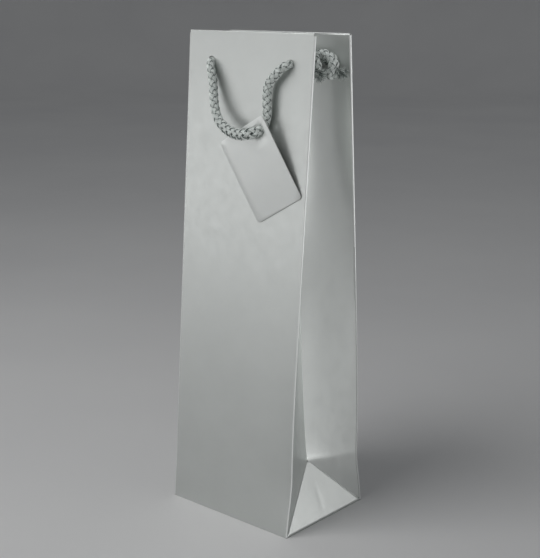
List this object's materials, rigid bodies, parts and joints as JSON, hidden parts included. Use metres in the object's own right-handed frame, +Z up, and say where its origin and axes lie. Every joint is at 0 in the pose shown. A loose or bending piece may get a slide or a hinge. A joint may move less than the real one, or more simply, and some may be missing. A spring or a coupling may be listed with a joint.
{
  "type": "wine gift bag",
  "caption": "Tall narrow paper carrier for one bottle, with folded side gussets, a stiff base card, two rope handles knotted inside the sides and a hanging gift tag.",
  "frame": {"origin": "centre of the base on the surface that the bag stands on", "axes": "+X along the width of the wide panels, +Z up towards the mouth, front panel with the gift tag faces -Y"},
  "size_m": [0.1144, 0.0888, 0.3549],
  "materials": {
    "paper": "satin pearl laminated art paper",
    "tag_card": "satin pearl card",
    "greyboard": "matte greyboard",
    "rope": "soft braided cord"
  },
  "bodies": {
    "base": {"base_flap_front": "paper", "base_flap_back": "paper", "base_flap_right": "paper", "base_flap_left": "paper", "base_card": "greyboard"},
    "front_panel": {"front_panel": "paper", "front_stiffener": "greyboard", "front_hem": "paper", "base_corner_front_right": "paper", "base_corner_front_left": "paper", "rope_pass_front_right": "rope", "rope_pass_front_left": "rope"},
    "back_panel": {"back_panel": "paper", "back_stiffener": "greyboard", "back_hem": "paper", "base_corner_back_right": "paper", "base_corner_back_left": "paper", "rope_pass_back_right": "rope", "rope_pass_back_left": "rope", "side_seam": "paper"},
    "gusset_front_right": {"gusset_front_right": "paper", "gusset_hem_front_right": "paper", "knot_front_right": "rope"},
    "gusset_front_left": {"gusset_front_left": "paper", "gusset_hem_front_left": "paper", "knot_front_left": "rope"},
    "gusset_back_right": {"gusset_back_right": "paper", "gusset_hem_back_right": "paper", "knot_back_right": "rope"},
    "gusset_back_left": {"gusset_back_left": "paper", "gusset_hem_back_left": "paper", "knot_back_left": "rope"},
    "base_triangle_right": {"base_triangle_right": "paper"},
    "base_triangle_left": {"base_triangle_left": "paper"},
    "front_handle": {"front_handle": "rope"},
    "rear_handle": {"rear_handle": "rope"},
    "gift_tag": {"gift_tag": "tag_card"}
  },
  "joints": [
    {"name": "mouth_front_fold", "type": "hinge", "parent": "base", "child": "front_panel", "pos_m": [0, -0.04445, 0], "axis": [1, 0, 0], "range_deg": [0, 2.4], "stiffness_Nm_per_rad": 1},
    {"name": "mouth_back_fold", "type": "hinge", "parent": "base", "child": "back_panel", "pos_m": [0, 0.04445, 0], "axis": [-1, 0, 0], "range_deg": [0, 2.4]},
    {"name": "gusset_front_right_fold", "type": "hinge", "parent": "front_panel", "child": "gusset_front_right", "pos_m": [0.05715, -0.04445, 0], "axis": [0, -0.0715, -0.9974], "range_deg": [0, 38.02], "deforming": ["rope_pass_front_right"]},
    {"name": "gusset_front_left_fold", "type": "hinge", "parent": "front_panel", "child": "gusset_front_left", "pos_m": [-0.05715, -0.04445, 0], "axis": [0, 0.0715, 0.9974], "range_deg": [0, 38.02], "deforming": ["rope_pass_front_left"]},
    {"name": "gusset_back_right_fold", "type": "hinge", "parent": "back_panel", "child": "gusset_back_right", "pos_m": [0.05715, 0.04445, 0], "axis": [0, -0.061, 0.9981], "range_deg": [0, 38.02], "deforming": ["rope_pass_back_right"]},
    {"name": "gusset_back_left_fold", "type": "hinge", "parent": "back_panel", "child": "gusset_back_left", "pos_m": [-0.05715, 0.04445, 0], "axis": [0, 0.061, -0.9981], "range_deg": [0, 38.02], "deforming": ["rope_pass_back_left"]},
    {"name": "base_triangle_right_fold", "type": "hinge", "parent": "base", "child": "base_triangle_right", "pos_m": [0.05715, 0, 0.0003], "axis": [0, 1, 0], "range_deg": [0, 8.5]},
    {"name": "base_triangle_left_fold", "type": "hinge", "parent": "base", "child": "base_triangle_left", "pos_m": [-0.05715, 0, 0.0003], "axis": [0, -1, 0], "range_deg": [0, 8.5]},
    {"name": "front_handle_swing", "type": "hinge", "parent": "front_panel", "child": "front_handle", "pos_m": [0, -0.0262, 0.33], "axis": [-1, 0, 0], "range_deg": [0, 165], "deforming": ["rope_pass_front_right", "rope_pass_front_left"]},
    {"name": "rear_handle_swing", "type": "hinge", "parent": "back_panel", "child": "rear_handle", "pos_m": [0, 0.0296, 0.329], "axis": [1, 0, 0], "range_deg": [0, 165], "deforming": ["rope_pass_back_right", "rope_pass_back_left"]},
    {"name": "gift_tag_swing", "type": "hinge", "parent": "front_handle", "child": "gift_tag", "pos_m": [0.01926, -0.03162, 0.28841], "axis": [-0.0816, 0.9961, 0.0344], "range_deg": [-3, 3]}
  ],
  "couplings": [
    {"joint": "mouth_back_fold", "follows": "mouth_front_fold", "ratio": 1},
    {"joint": "gusset_front_right_fold", "follows": "mouth_front_fold", "ratio": 15.8},
    {"joint": "gusset_front_left_fold", "follows": "mouth_front_fold", "ratio": 15.8},
    {"joint": "gusset_back_right_fold", "follows": "mouth_front_fold", "ratio": 15.8},
    {"joint": "gusset_back_left_fold", "follows": "mouth_front_fold", "ratio": 15.8},
    {"joint": "base_triangle_right_fold", "follows": "mouth_front_fold", "ratio": 3.5},
    {"joint": "base_triangle_left_fold", "follows": "mouth_front_fold", "ratio": 3.5}
  ]
}
